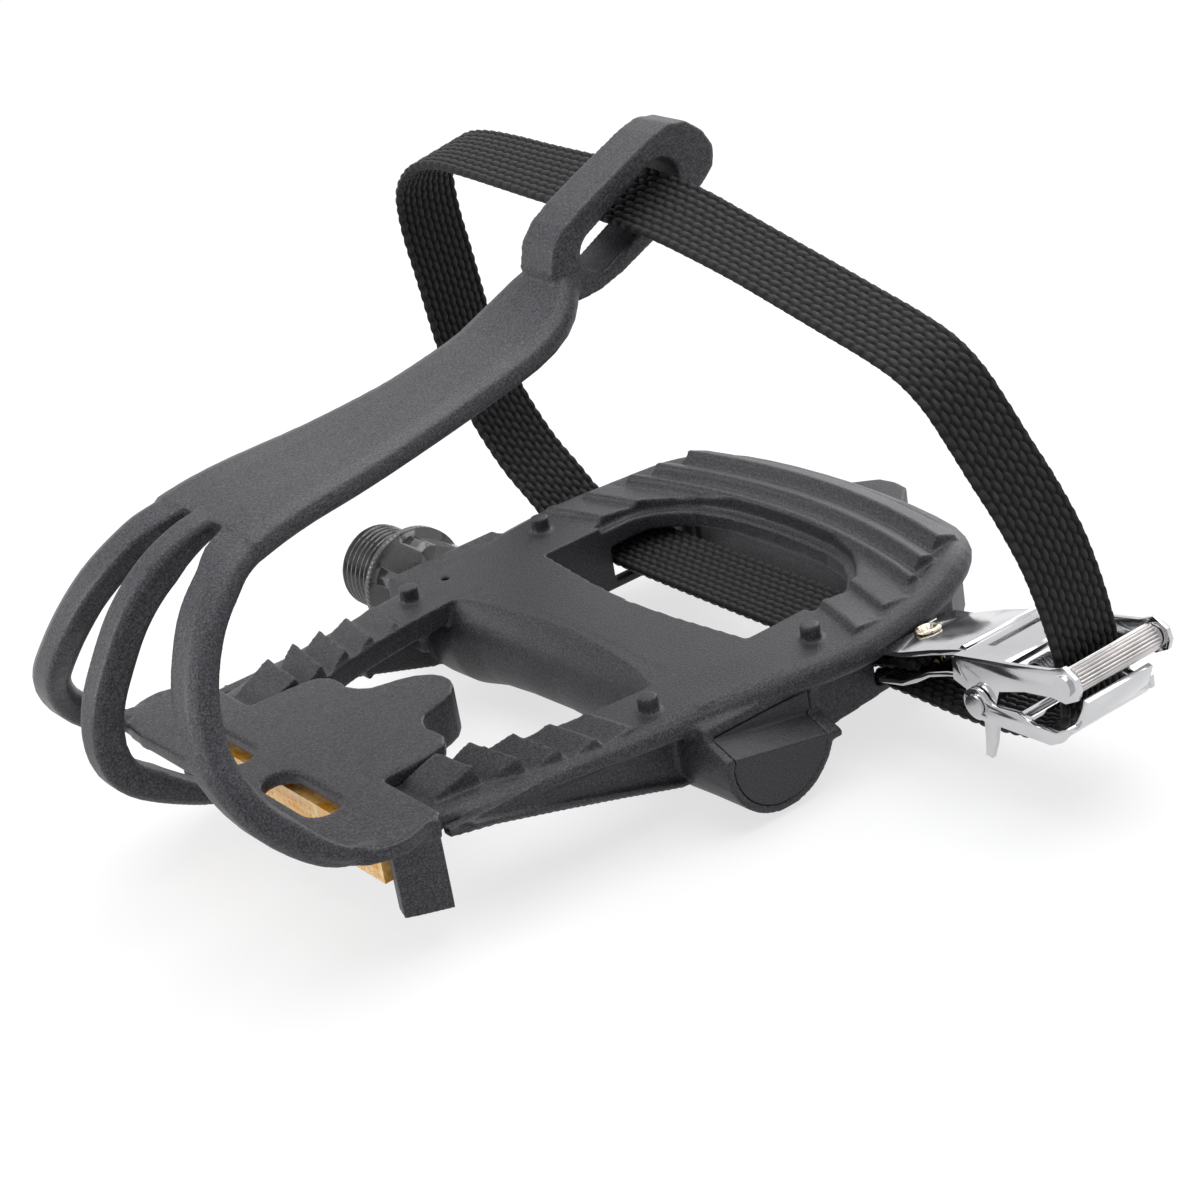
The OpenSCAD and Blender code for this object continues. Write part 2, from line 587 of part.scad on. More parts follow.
module mirror_shoulder() {
    translate([0, mid_y, 0]) mirror([0, 1, 0]) translate([0, -mid_y, 0])
        shoulder(mid_y - barrel_in);
}

// Outline of the end cap seen from the outer end: a disc below, a square panel above
module cap_shape(grow) {
    y0 = mid_y + panel_w - 3;
    intersection() {
        cyl_y(8.8 + grow, y0, barrel_out + cut);
        translate([-20, y0 - cut, -20]) cube([40, 20, 20.5]);
    }
    translate([-9.6 - grow, y0, 0]) cube([18 + 2 * grow, barrel_out + cut - y0, cap_top + grow]);
}

// Shell that closes the outer end: panel, ledge and disc in one piece
module end_cap() {
    color([0.09, 0.09, 0.1])
        difference() {
            intersection() {
                cap_shape(0);
                outer_end();
            }
            translate([0, -cap_t, -0.8]) outer_end();
        }
}

// Ring of the clip band or of a bar at one station
function clip_ring(x, z, d, offs) =
    [for (q = turned(offs)) [x - d[1] * q[1], mid_y + q[0], z + d[0] * q[1]]];

module clip_band() {
    rows = curve(band, clip_steps);
    p = two(rows);
    skin([for (i = [0:len(p) - 1])
        let (d = path_dir(p, i), w = rows[i][2], o = w + 2.9 * min(1, (i / clip_steps + 0.3) / 3))
        clip_ring(p[i][0], p[i][1], d, [[-o, -2.1], [-o + 0.7, -0.9], [-w, -0.25], [-w / 2, 0],
            [w / 2, 0], [w, -0.25], [o - 0.7, -0.9], [o, -2.1],
            [o - 0.4, -3.5], [o - 1.6, -4.2], [w - 0.8, -3.6], [w / 2, -2.6],
            [-w / 2, -2.6], [-w + 0.8, -3.6], [-o + 1.6, -4.2], [-o + 0.4, -3.5]])]);
}

module outer_bar() {
    rows = curve(bar, clip_steps);
    p = two(rows);
    n = len(p);
    skin([for (i = [0:n - 1])
        let (d = path_dir(p, i), left = (n - 1 - i) / clip_steps, a = rows[i][2], b = rows[i][3],
            o = b + 2.9 * min(1, (left + 0.5) / 7),
            t = min(bar_t, bar_t - 0.9 + 0.1 * i / clip_steps, 1.5 + left * 0.75))
        clip_ring(p[i][0], p[i][1], d, [[a, -min(0.5, t * 0.2)], [a + 0.6, 0], [b, 0],
            [o - 0.8, -min(0.9, t * 0.25)], [o, -t * 0.5],
            [o - 0.5, -t * 0.85], [b + 0.6, -t], [a + 1.8, -t], [a + 0.6, -t * 0.85], [a, -t * 0.6]])]);
}

module middle_bar() {
    p = curve(mid_bar, clip_steps);
    n = len(p);
    w = mid_bar_w;
    skin([for (i = [0:n - 1])
        let (d = path_dir(p, i), k = i / clip_steps, left = (n - 1 - i) / clip_steps,
            t = min(bar_t, 2.5 + 0.6 * k, 1.5 + left * 0.8), c = min(0.9, t * 0.3))
        clip_ring(p[i][0], p[i][1], d, [[-w, -c], [-w + 0.7, 0], [w - 0.7, 0],
            [w, -c], [w, -t + c], [w - 0.7, -t], [-w + 0.7, -t], [-w, -t + c]])]);
}

module clip_plate() {
    difference() {
        union() {
            top_plate(under_z, plate_z) polygon(both(plate));
            // Deep skirts under the rear lobes
            top_plate(1.6, plate_z) difference() {
                intersection() {
                    polygon(both(plate));
                    translate([20, -12]) square([20, 24]);
                }
                offset(delta = -1.8) polygon(both(plate));
                translate([36.4, -20]) square([10, 40]);
            }
            // Lugs for the clip screws
            for (s = [-1, 1])
                translate([lug_x0, mid_y + s * screw_w - 4, screw_z - 4])
                    cube([beam_x0 - seat_gap - lug_x0, 8, under_z + 1 - screw_z + 4]);
        }
        for (s = [-1, 1]) {
            cyl_x(screw_r + seat_gap, lug_x0 - cut, beam_x0 + cut, s * screw_w, screw_z);
            // Windows over the front reflector
            translate([59.5, mid_y + s * 6.5, 0]) cylinder(r = 3, h = 20, $fn = 32);
            translate([59.5, mid_y + s * 16.5, 0]) cylinder(r = 3, h = 20, $fn = 32);
            translate([56.5, mid_y + s * 11.5 - 5, 0]) cube([6, 10, 20]);
        }
    }
    // Corner blocks that reach down at both ends of the front beam
    both_sides() {
        top_plate(-5, plate_z - 0.4) polygon([[57.5, 29.8], [51.3, 33], [49.9, 30.4], [56.6, 26.9]]);
        top_plate(6.4, plate_z - 0.2) polygon([[57.9, 29.9], [51.2, 33.4], [50.4, 31.9], [57.2, 28.4]]);
    }
}

module strap_loop() {
    difference() {
        side_plate(-loop_w / 2, loop_w / 2) polygon(loop_out);
        translate([slot_pos[0], mid_y, slot_pos[1]]) rotate([0, slot_tilt, 0]) {
            translate([-(slot_len - slot_h) / 2, -10, -slot_h / 2])
                cube([slot_len - slot_h, 20, slot_h]);
            for (s = [-1, 1])
                translate([s * (slot_len - slot_h) / 2, -10, 0]) rotate([-90, 0, 0])
                    cylinder(r = slot_h / 2, h = 20, $fn = 48);
        }
    }
}

module toe_clip() {
    color([0.11, 0.11, 0.11]) {
        strap_loop();
        clip_band();
        both_sides() outer_bar();
        middle_bar();
        clip_plate();
    }
}

module front_reflector() {
    color([0.95, 0.55, 0.05]) {
        translate([beam_x1 + seat_gap, mid_y - 26.4, -1.4]) cube([1, 52.8, under_z + 1.3]);
        translate([beam_x1 + 1, mid_y - 25.8, -1]) cube([2.2, 51.6, 7]);
    }
}

module rear_reflector() {
    color([0.95, 0.55, 0.05])
        translate([rear_x0 - 0.3, mid_y - 20 + seat_gap, -3.8 + seat_gap])
            cube([1.75, 40 - 2 * seat_gap, 6.9 - 2 * seat_gap]);
}

module clip_screws() {
    color([0.5, 0.5, 0.52])
        for (s = [-1, 1]) difference() {
            union() {
                cyl_x(screw_r, lug_x0 - 4.6, beam_x1 - 2.6, s * screw_w, screw_z);
                cyl_x(3.6, beam_x1 - 2.65, beam_x1 - 0.3, s * screw_w, screw_z);
            }
            translate([beam_x1 - 1.6, mid_y + s * screw_w - 4, screw_z - 0.5]) cube([3, 8, 1]);
        }
}

module clip_nuts() {
    color([0.5, 0.5, 0.52])
        for (s = [-1, 1]) difference() {
            cyl_x(7 / sqrt(3), lug_x0 - 3.4, lug_x0 - seat_gap, s * screw_w, screw_z, 6);
            cyl_x(screw_r + fit_gap, lug_x0 - 5, lug_x0 + 1, s * screw_w, screw_z);
        }
}

module strap() {
    n = len(strap_path);
    p = [for (q = strap_path) [q[0], q[1], q[2]]];
    color([0.06, 0.06, 0.06])
        difference() {
            skin([for (i = [0:n - 1])
                let (t = strap_path[i][3], d = unit(p[min(i + 1, n - 1)] - p[max(i - 1, 0)]),
                    w0 = [-cos(t), 0, sin(t)], w1 = unit(w0 - d * (w0 * d)),
                    h = cross(d, w1), a = w1 * strap_w / 2, b = h * strap_t / 2,
                    c = [p[i][0], mid_y + p[i][1], p[i][2]])
                [c - a - b, c + a - b, c + a + b, c - a + b]]);
            translate([buckle_x - 0.2, mid_y + rivet_w, 1]) cylinder(r = 1.5 + fit_gap, h = 5, $fn = 24);
        }
}

// Cheek of the buckle frame, in the front view
module cheek() {
    difference() {
        union() {
            polygon([[58, 9.9], [58, 6.4], [60.4, 5.6], [60.4, pivot_z], [61, 2.6], [63, 1.8],
                [65, 2.6], [65.8, pivot_z], [67, 7.2], [72, 8.8], [77.4, 9.6], [roller_w, 9.4],
                [82, 10.6], [82.5, roller_z], [82, 13.8], [roller_w, 15], [77, 13.8],
                [70, 12.4], [64, 11.4]]);
        }
        translate([roller_w, roller_z]) circle(r = pin_r + fit_gap, $fn = 32);
        translate([pivot_w, pivot_z]) circle(r = pin_r + fit_gap, $fn = 32);
    }
}

module buckle_frame() {
    x0 = buckle_x - frame_in;
    x1 = buckle_x + frame_in;
    color([0.85, 0.85, 0.87])
        difference() {
            union() {
                front_plate(x0 + 1, x1 - 1)
                    strip([[41.1, 4.75], [45.2, 5.5], [47, 6.15], [52, 8], [57, 9.6], [59, 10.1]],
                        sheet_t);
                front_plate(x0 - cheek_t, x1 + cheek_t)
                    strip([[58.6, 10], [61.3, 10.5], [64, 11], [67, 11.5], [69, 11.7]], sheet_t);
                front_plate(x0 - cheek_t, x0) cheek();
                front_plate(x1, x1 + cheek_t) cheek();
                // Bead across the sheet
                cyl_x(0.7, x0 + 1.4, x1 - 1.4, 58.4, 10.2);
            }
            translate([buckle_x - 0.2, mid_y + rivet_w, 3]) cylinder(r = 1.5 + fit_gap, h = 6, $fn = 32);
            // Slot across the sheet
            translate([buckle_x - 5, mid_y + 61, 9]) cube([10, 1.4, 4]);
        }
}

module buckle_base() {
    color([0.82, 0.82, 0.84])
        difference() {
            front_plate(buckle_x - frame_in + seat_gap, buckle_x + frame_in - seat_gap)
                strip([[41, 0.4], [42.5, 0.75], [46, 1.45], [49, 2.9], [52, 4.8], [56, 6.2], [60, 7.1]],
                    sheet_t);
            translate([buckle_x - 0.2, mid_y + rivet_w, -2]) cylinder(r = 1.5 + fit_gap, h = 6, $fn = 32);
        }
}

module buckle_rivet() {
    color([0.8, 0.78, 0.7])
        translate([buckle_x - 0.2, mid_y + rivet_w, 0]) {
            translate([0, 0, 0.1]) cylinder(r = 1.5, h = 5.6, $fn = 32);
            // The head lies on the sloping sheet
            translate([0, 0, 5.12 + sheet_t / 2]) rotate([10.4, 0, 0]) cylinder(r = 2, h = 0.6, $fn = 40);
        }
}

// Cheek of the clamp lever, in the front view
module lever_cheek() {
    difference() {
        union() {
            translate([pivot_w, pivot_z]) circle(r = 2.4, $fn = 40);
            polygon([[62, 2.6], [64.4, 2], [68, 2.2], [73, 2.4], [77, 2.5], [79.2, 3.6], [80.8, 5.4],
                [80.2, 6], [78.2, 4.8], [74, 4.6], [71, 5.6], [66, 5], [63.4, 6.4]]);
            // Tail that the finger pulls
            polygon([[64.4, 2.8], [67, 2.4], [66.2, -1], [65.2, -3.6], [64, -3.4], [64.3, -0.6]]);
        }
        translate([pivot_w, pivot_z]) circle(r = pin_r + 0.05, $fn = 32);
    }
}

module clamp_lever() {
    x0 = buckle_x - lever_in;
    x1 = buckle_x + lever_in;
    color([0.85, 0.85, 0.87]) {
        // The far cheek is cut shorter than the near one
        front_plate(x0 - lever_t, x0) intersection() {
            lever_cheek();
            translate([0, -20]) square([77.6, 40]);
        }
        front_plate(x1, x1 + lever_t) lever_cheek();
        // Toothed jaw between the cheeks
        front_plate(x0 - 0.5, x1 + 0.5)
            polygon([[70.2, 4.1], [72.8, 4.8], [73.5, 5], [73.8, 5.8], [72.6, 5.7], [70.4, 4.9]]);
        // Curved guard under the roller
        front_plate(buckle_x - 6, x1 + 0.4)
            strip([[77, 3.2], [78.4, 3.9], [79.6, 4.8], [80.5, 5.8]], sheet_t);
        front_plate(buckle_x - 4.4, buckle_x + frame_in - 0.2)
            strip([[79.9, 5.1], [81, 6.5], [81.9, 8.2], [82.6, 10.4]], sheet_t);
    }
}

module lever_pin() {
    color([0.8, 0.8, 0.82]) {
        h = lever_in + lever_t + 0.1;
        cyl_x(pin_r, buckle_x - h, buckle_x + h, pivot_w, pivot_z);
        cyl_x(1.6, buckle_x - h - 0.4, buckle_x - h, pivot_w, pivot_z);
        cyl_x(1.6, buckle_x + h, buckle_x + h + 0.4, pivot_w, pivot_z);
    }
}

module lever_spring() {
    color([0.7, 0.7, 0.72])
        for (i = [0:5])
            translate([buckle_x - 5 + i * 0.62, mid_y + pivot_w, pivot_z]) rotate([0, 90, 0])
                rotate_extrude($fn = 32) translate([pin_r + fit_gap + 0.3, 0]) circle(r = 0.3, $fn = 12);
}

module roller() {
    half = frame_in - 0.15;
    color([0.78, 0.78, 0.8])
        difference() {
            cyl_x(roller_r, buckle_x - half, buckle_x + half, roller_w, roller_z, 48);
            cyl_x(pin_r + 0.05, buckle_x - half - cut, buckle_x + half + cut, roller_w, roller_z);
        }
}

module roller_pin() {
    color([0.8, 0.8, 0.82]) {
        cyl_x(pin_r, buckle_x - frame_in - cheek_t - 0.3, buckle_x + frame_in + cheek_t + 0.3,
            roller_w, roller_z);
        cyl_x(1.6, buckle_x - frame_in - cheek_t - 0.5, buckle_x - frame_in - cheek_t,
            roller_w, roller_z);
        cyl_x(1.6, buckle_x + frame_in + cheek_t, buckle_x + frame_in + cheek_t + 0.6,
            roller_w, roller_z);
    }
}

spindle();
inner_seal();
inner_cup();
inner_balls();
outer_cup();
outer_balls();
outer_cone();
keyed_washer();
lock_nut();
pedal_body();
end_cap();
toe_clip();
front_reflector();
rear_reflector();
clip_screws();
clip_nuts();
strap();
buckle_frame();
buckle_base();
buckle_rivet();
clamp_lever();
lever_pin();
lever_spring();
roller();
roller_pin();
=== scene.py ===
"""Bicycle pedal with toe clip and strap: surfaces, fine detail, lights and camera. Metres."""
import math

import bmesh
import bpy
from mathutils import Matrix, Vector


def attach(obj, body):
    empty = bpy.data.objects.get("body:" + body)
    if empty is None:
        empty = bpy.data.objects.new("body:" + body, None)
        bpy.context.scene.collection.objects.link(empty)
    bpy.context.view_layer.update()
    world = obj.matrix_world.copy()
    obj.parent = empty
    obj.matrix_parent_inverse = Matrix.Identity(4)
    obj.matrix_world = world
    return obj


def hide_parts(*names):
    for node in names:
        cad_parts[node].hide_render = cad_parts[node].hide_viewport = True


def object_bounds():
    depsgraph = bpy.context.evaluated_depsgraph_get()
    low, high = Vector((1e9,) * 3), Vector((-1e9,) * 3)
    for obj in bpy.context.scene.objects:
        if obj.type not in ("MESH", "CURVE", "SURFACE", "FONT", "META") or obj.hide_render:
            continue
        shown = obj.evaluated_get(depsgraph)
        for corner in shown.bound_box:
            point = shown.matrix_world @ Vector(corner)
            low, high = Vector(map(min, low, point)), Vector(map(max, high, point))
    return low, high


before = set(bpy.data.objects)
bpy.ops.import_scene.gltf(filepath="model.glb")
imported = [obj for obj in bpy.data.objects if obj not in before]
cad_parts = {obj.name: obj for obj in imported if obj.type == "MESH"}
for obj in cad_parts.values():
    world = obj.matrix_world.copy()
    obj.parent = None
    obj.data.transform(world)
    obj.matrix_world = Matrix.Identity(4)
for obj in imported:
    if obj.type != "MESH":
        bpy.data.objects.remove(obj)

CAD_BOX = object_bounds()
MM = 0.001

# Places and sizes that part.scad also holds, in millimetres
MID_Y = 50.3
THREAD_R = 7.144
THREAD_LEN = 11.2
THREAD_PITCH = 1.27
THREAD_DEPTH = 0.75
STRAP_W = 11.9
STRAP_T = 1.6
BUCKLE_X = -29.8
FRAME_IN = 8.6
ROLLER_W = 79.7
ROLLER_Z = 12.2
ROLLER_R = 2.0
PIN_R = 1.05
RIVET_W = 43
RIVET_Z = 5.52
RIVET_TILT = 10.4
RIVET_BACK = 0.2
PIVOT_W = 63
PIVOT_Z = 4.3
REFLECTOR_X = 57.2
REFLECTOR_HALF = 25.8
REFLECTOR_Z = (-1, 6)

# Strap centre line: X, distance from the middle plane, Z, tilt of the webbing
STRAP_PATH = [
    (-30, 46, 3.15, 4), (-30, 42, 2.5, 5), (-30, 38.5, 1.65, 6), (-30, 35, 1.1, 8),
    (-30, 25, 0.9, 9), (-30, 0, 0.8, 9), (-30, -25, 0.9, 9), (-30, -35, 1.1, 9),
    (-29.8, -39.5, 1.9, 9), (-29.5, -43.2, 4.2, 9), (-29, -46.8, 7.6, 10),
    (-28.3, -51.2, 11.8, 10), (-27.6, -55, 17, 10), (-26.8, -57.6, 22.5, 10),
    (-25.8, -59.4, 29, 10), (-25, -59.9, 34.5, 10), (-24, -59.4, 40.5, 10),
    (-23, -58.9, 47, 10), (-22, -58.6, 53.6, 10), (-21.3, -57.8, 58.8, 10),
    (-20.6, -56, 62.8, 10), (-20.2, -52.6, 66.3, 10), (-20, -48, 68.8, 10),
    (-19.9, -42, 69.9, 10), (-19.8, -34, 70, 12), (-19.8, -25, 69.7, 14),
    (-19.9, -16, 69.4, 17), (-20, -8, 69.2, 19), (-20, 0, 68.8, 20), (-20, 6, 68.3, 19),
    (-20.2, 12, 67.4, 17), (-20.4, 19, 65.8, 13), (-20.7, 27.3, 63.7, 10),
    (-21, 35.7, 61.4, 10), (-21.3, 44.2, 59, 10), (-21.7, 52, 56.7, 10),
    (-22.1, 57.8, 54.3, 10), (-22.6, 62, 50.8, 10), (-23.3, 65.2, 46, 10),
    (-24, 68, 41.2, 10), (-24.7, 70.5, 37, 10), (-25.2, 72.6, 33.2, 10),
    (-25.8, 74.3, 29.2, 10), (-26.5, 75.4, 24.8, 10), (-27.2, 76.1, 20.4, 9),
    (-27.9, 76.4, 16.4, 7), (-28.6, 76.3, 12.6, 5), (-29.2, 76, 8.8, 3),
    (-29.6, 75.6, 5, 2), (-29.8, 74.7, 2.8, 2), (-30, 72.2, 0.8, 2), (-30, 68, -0.7, 2),
    (-30, 60, -1.8, 2), (-30, 52, -1.9, 3), (-30, 45, -1.7, 4), (-30, 39.5, -1.5, 6),
    (-30, 35.5, -1.35, 8),
]

# Camera of the photograph
LENS = 82.444
CAMERA_AT = (0.208711, 0.364040, 0.190341)
CAMERA_RIGHT = (-0.77659, 0.61131, -0.15234)
CAMERA_UP = (-0.37752, -0.25796, 0.88934)


# Materials

class Nodes:
    """Short calls for building one node material."""

    def __init__(self, name):
        self.mat = bpy.data.materials.new(name)
        self.mat.use_nodes = True
        self.tree = self.mat.node_tree
        self.bsdf = self.tree.nodes["Principled BSDF"]
        self.place = self.add("ShaderNodeTexCoord").outputs["Object"]

    def add(self, kind, **settings):
        node = self.tree.nodes.new(kind)
        for key, value in settings.items():
            setattr(node, key, value)
        return node

    def link(self, a, b):
        self.tree.links.new(a, b)

    def set(self, **values):
        for key, value in values.items():
            socket = key.replace("_", " ").title().replace("Ior", "IOR")
            self.bsdf.inputs[socket].default_value = value

    def stretched(self, scale):
        mapping = self.add("ShaderNodeMapping")
        mapping.inputs["Scale"].default_value = scale
        self.link(self.place, mapping.inputs["Vector"])
        return mapping.outputs["Vector"]

    def noise(self, scale, detail=2.0, rough=0.5, stretch=None):
        node = self.add("ShaderNodeTexNoise")
        node.inputs["Scale"].default_value = scale
        node.inputs["Detail"].default_value = detail
        node.inputs["Roughness"].default_value = rough
        self.link(self.stretched(stretch) if stretch else self.place, node.inputs["Vector"])
        return node.outputs["Fac"]

    def cells(self, scale):
        node = self.add("ShaderNodeTexVoronoi", feature="F1")
        node.inputs["Scale"].default_value = scale
        self.link(self.place, node.inputs["Vector"])
        return node.outputs["Distance"]

    def ramp(self, factor, stops):
        node = self.add("ShaderNodeValToRGB")
        points = node.color_ramp.elements
        while len(points) < len(stops):
            points.new(0.5)
        for point, (at, colour) in zip(points, stops):
            point.position = at
            point.color = (*colour, 1)
        self.link(factor, node.inputs["Fac"])
        return node.outputs["Color"]

    def span(self, factor, low, high, start=0.3, end=0.7):
        node = self.add("ShaderNodeMapRange")
        limits = {"From Min": start, "From Max": end, "To Min": low, "To Max": high}
        for key, value in limits.items():
            node.inputs[key].default_value = value
        self.link(factor, node.inputs["Value"])
        return node.outputs["Result"]

    def bump(self, height, depth, strength, before=None):
        node = self.add("ShaderNodeBump")
        node.inputs["Distance"].default_value = depth
        node.inputs["Strength"].default_value = strength
        self.link(height, node.inputs["Height"])
        if before:
            self.link(before, node.inputs["Normal"])
        return node.outputs["Normal"]

    def base(self, socket):
        self.link(socket, self.bsdf.inputs["Base Color"])

    def rough(self, socket):
        self.link(socket, self.bsdf.inputs["Roughness"])

    def normal(self, socket):
        self.link(socket, self.bsdf.inputs["Normal"])


def moulded_nylon(name, dark, light, rough):
    """Black glass filled nylon with a fine eroded grain."""
    m = Nodes(name)
    speck = m.noise(3600, detail=1.0)
    cloud = m.noise(60, detail=3.0)
    middle = tuple((a + b) / 2 for a, b in zip(dark, light))
    m.base(m.ramp(speck, [(0.30, dark), (0.55, middle), (0.72, light)]))
    m.rough(m.span(cloud, rough - 0.05, rough + 0.07))
    grain = m.bump(m.noise(2600, detail=2.0), 0.00008, 0.7)
    m.normal(m.bump(m.noise(240, detail=2.0), 0.00006, 0.35, before=grain))
    m.set(specular_ior_level=0.28)
    return m.mat


def webbing():
    """Black woven polyester: dull yarn with fine filaments and a soft sheen, and painted shade that
    darkens the colour in the low gaps between stitches.
    """
    m = Nodes("webbing")
    yarn = m.noise(900, detail=4.0, rough=0.6)
    shade = m.ramp(yarn, [(0.3, (0.012, 0.0115, 0.0118)), (0.6, (0.026, 0.0245, 0.0255)),
                          (0.8, (0.046, 0.043, 0.045))])
    lift = m.add("ShaderNodeAttribute", attribute_name="lift").outputs["Fac"]
    # Painted shade: the yarn colour is multiplied down where the weave is low, darkest in the gaps
    # between stitches
    painted_gap_shade = m.add("ShaderNodeMixRGB", blend_type="MULTIPLY")
    painted_gap_shade.inputs["Fac"].default_value = 1.0
    m.link(shade, painted_gap_shade.inputs["Color1"])
    depth = m.ramp(lift, [(0.20, (0.06, 0.06, 0.06)), (0.62, (0.30, 0.30, 0.30)), (0.95, (1, 1, 1))])
    m.link(depth, painted_gap_shade.inputs["Color2"])
    m.base(painted_gap_shade.outputs["Color"])
    m.rough(m.span(yarn, 0.50, 0.68))
    m.normal(m.bump(m.noise(4200, detail=2.0), 0.00004, 0.6))
    m.set(sheen_weight=0.03, sheen_roughness=0.4, specular_ior_level=0.18)
    return m.mat


def chrome(name="chrome", tint=(0.60, 0.60, 0.615), rough=0.09):
    """Bright plated sheet with faint smears and hair scratches."""
    m = Nodes(name)
    smear = m.noise(150, detail=4.0)
    m.base(m.ramp(smear, [(0.35, tuple(c * 0.9 for c in tint)), (0.7, tint)]))
    m.rough(m.span(smear, rough * 0.7, rough * 1.7))
    scratch = m.noise(700, detail=2.0, stretch=(1, 14, 3))
    m.normal(m.bump(scratch, 0.000012, 0.4))
    m.set(metallic=1.0)
    return m.mat


def steel(name, tint, rough, turned=(6, 1, 6)):
    """Turned or rolled steel with fine marks along its run."""
    m = Nodes(name)
    marks = m.noise(900, detail=3.0, stretch=turned)
    stain = m.noise(220, detail=4.0)
    m.base(m.ramp(stain, [(0.3, tuple(c * 0.82 for c in tint)), (0.65, tint)]))
    m.rough(m.span(marks, rough * 0.8, rough * 1.35))
    m.normal(m.bump(marks, 0.00002, 0.4))
    m.set(metallic=1.0)
    return m.mat


def black_steel():
    """Oil blacked spindle steel, glossy, with turning marks and handling wear."""
    m = Nodes("black_steel")
    marks = m.noise(1100, detail=2.0, stretch=(1, 8, 1))
    wear = m.noise(330, detail=5.0)
    m.base(m.ramp(wear, [(0.45, (0.012, 0.012, 0.012)), (0.62, (0.02, 0.02, 0.02)),
                         (0.80, (0.075, 0.068, 0.060))]))
    m.rough(m.span(marks, 0.20, 0.36))
    m.normal(m.bump(marks, 0.00002, 0.35))
    m.set(coat_weight=0.35, coat_roughness=0.12, specular_ior_level=0.7)
    return m.mat


def amber():
    """Amber acrylic reflector under a glossy face, with painted prism reflections: the colour is
    bright in each small cell and darker at its borders.
    """
    m = Nodes("reflector")
    shade = m.noise(420, detail=2.0)
    glow = m.ramp(shade, [(0.38, (0.72, 0.34, 0.02)), (0.5, (0.74, 0.44, 0.12)),
                          (0.64, (0.80, 0.56, 0.24))])
    mix = m.add("ShaderNodeMixRGB", blend_type="MULTIPLY")
    mix.inputs["Fac"].default_value = 0.6
    m.link(glow, mix.inputs["Color1"])
    # Painted reflection: each prism cell is left bright in its middle and darkened towards its border
    m.link(m.ramp(m.cells(760), [(0.15, (1, 1, 1)), (0.75, (0.72, 0.55, 0.30))]), mix.inputs["Color2"])
    m.base(mix.outputs["Color"])
    m.rough(m.span(shade, 0.12, 0.28))
    m.normal(m.bump(m.cells(900), 0.00012, 0.6))
    m.set(coat_weight=0.6, coat_roughness=0.05, subsurface_weight=0.15, subsurface_scale=0.002)
    m.bsdf.inputs["Subsurface Radius"].default_value = (1.0, 0.45, 0.08)
    return m.mat


def rubber():
    """Black seal rubber, dull and slightly rough."""
    m = Nodes("seal")
    speck = m.noise(1500, detail=3.0)
    m.base(m.ramp(speck, [(0.3, (0.010, 0.010, 0.010)), (0.7, (0.022, 0.022, 0.022))]))
    m.rough(m.span(speck, 0.6, 0.8))
    m.normal(m.bump(speck, 0.00003, 0.5))
    return m.mat


MATERIALS = {
    "body_plastic": moulded_nylon(
        "body_plastic", (0.0085, 0.0080, 0.0092), (0.061, 0.058, 0.067), 0.46),
    "clip_plastic": moulded_nylon(
        "clip_plastic", (0.0095, 0.0090, 0.0105), (0.070, 0.067, 0.077), 0.43),
    "cap_plastic": moulded_nylon(
        "cap_plastic", (0.013, 0.0125, 0.0142), (0.041, 0.039, 0.045), 0.40),
    "webbing": webbing(),
    "chrome": chrome(),
    "rivet": chrome("rivet", (0.66, 0.60, 0.47), 0.16),
    "roller_steel": steel("roller_steel", (0.58, 0.56, 0.555), 0.20, turned=(1, 9, 9)),
    "screw_steel": steel("screw_steel", (0.55, 0.55, 0.56), 0.26),
    "steel": steel("steel", (0.62, 0.62, 0.63), 0.22),
    "ball_steel": steel("ball_steel", (0.75, 0.75, 0.76), 0.08),
    "black_steel": black_steel(),
    "reflector": amber(),
    "seal": rubber(),
}

NODE_SLOTS = {
    "spindle": "black_steel", "inner_seal": "seal", "inner_cup": "steel", "outer_cup": "steel",
    "inner_balls": "ball_steel", "outer_balls": "ball_steel", "outer_cone": "steel",
    "keyed_washer": "steel", "lock_nut": "steel", "pedal_body": "body_plastic",
    "end_cap": "cap_plastic", "toe_clip": "clip_plastic", "front_reflector": "reflector",
    "rear_reflector": "reflector", "clip_screws": "screw_steel", "clip_nuts": "screw_steel",
    "strap": "webbing", "buckle_frame": "chrome", "buckle_base": "chrome",
    "buckle_rivet": "rivet", "clamp_lever": "chrome", "lever_pin": "chrome",
    "lever_spring": "steel", "roller": "roller_steel", "roller_pin": "chrome",
}


def dress(obj, slot):
    obj.data.materials.clear()
    obj.data.materials.append(MATERIALS[slot])


# Moulded and metal pieces

def new_piece(name, mesh, slot, body, *nodes):
    """Links a piece, gives it its material and body, and hides the nodes it stands for."""
    obj = bpy.data.objects.new(name, mesh)
    bpy.context.scene.collection.objects.link(obj)
    dress(obj, slot)
    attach(obj, body)
    if nodes:
        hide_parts(*nodes)
    return obj


def mesh_from(name, points, faces, smooth=True):
    mesh = bpy.data.meshes.new(name)
    mesh.from_pydata([Vector(p) * MM for p in points], [], faces)
    mesh.validate()
    if smooth:
        mesh.shade_smooth()
    return mesh


def welded(node):
    """A copy of a CAD node's mesh with its faces joined at the corners."""
    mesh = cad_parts[node].data.copy()
    bm = bmesh.new()
    bm.from_mesh(mesh)
    bmesh.ops.remove_doubles(bm, verts=bm.verts, dist=1e-6)
    bm.to_mesh(mesh)
    bm.free()
    return mesh


def baked(mesh, modifiers, name):
    """The mesh after a list of modifiers, each given as kind and settings."""
    work = bpy.data.objects.new("work", mesh)
    bpy.context.scene.collection.objects.link(work)
    for i, (kind, settings) in enumerate(modifiers):
        mod = work.modifiers.new(f"step{i}", kind)
        for key, value in settings.items():
            setattr(mod, key, value)
    seen = work.evaluated_get(bpy.context.evaluated_depsgraph_get())
    made = bpy.data.meshes.new_from_object(seen)
    made.name = name
    bpy.data.objects.remove(work)
    return made


